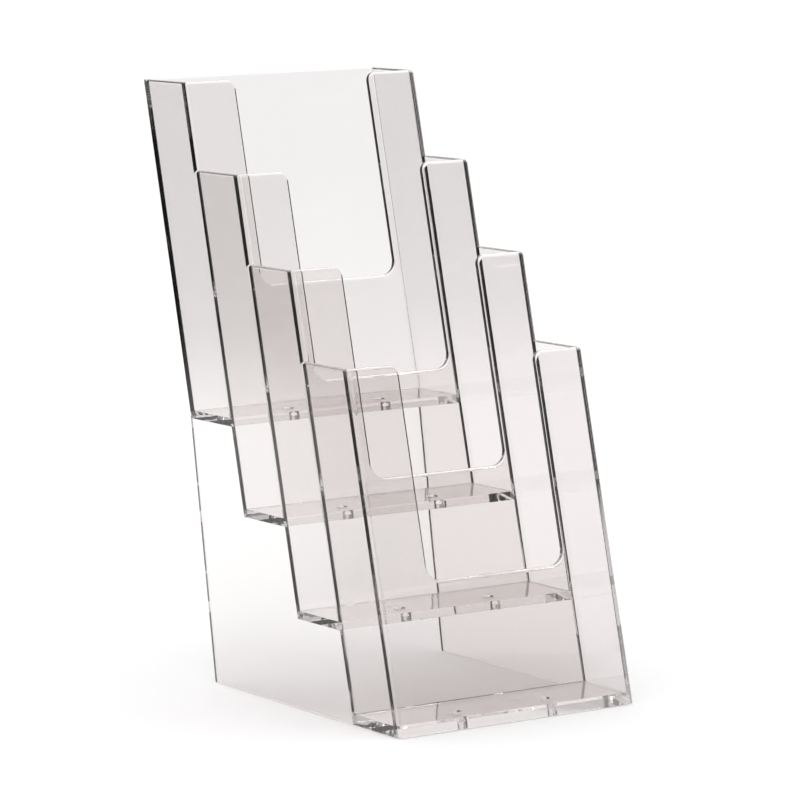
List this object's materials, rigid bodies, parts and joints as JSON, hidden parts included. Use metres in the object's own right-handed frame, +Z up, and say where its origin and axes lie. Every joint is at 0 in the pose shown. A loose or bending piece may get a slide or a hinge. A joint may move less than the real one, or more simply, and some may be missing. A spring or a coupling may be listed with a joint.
{
  "type": "brochure rack",
  "caption": "Clear plastic countertop leaflet rack: leaning pockets step down and forwards, each with a deep U-shaped finger cutout between two flanges.",
  "frame": {"origin": "middle of the rack's footprint box, on the surface it stands on", "axes": "+X to the viewer's right when facing the front, +Y to the back, +Z up; the pockets face -Y"},
  "size_m": [0.116, 0.196, 0.2558],
  "materials": {
    "clear_plastic": "clear moulded plastic, polished"
  },
  "bodies": {
    "root": {"rear_wall": "clear_plastic", "tier_1_shell": "clear_plastic", "tier_2_shell": "clear_plastic", "tier_3_shell": "clear_plastic", "tier_4_shell": "clear_plastic", "tier_1_floor": "clear_plastic", "tier_2_floor": "clear_plastic", "tier_3_floor": "clear_plastic", "tier_4_floor": "clear_plastic", "side_skirt_left": "clear_plastic", "side_skirt_right": "clear_plastic"}
  },
  "joints": []
}
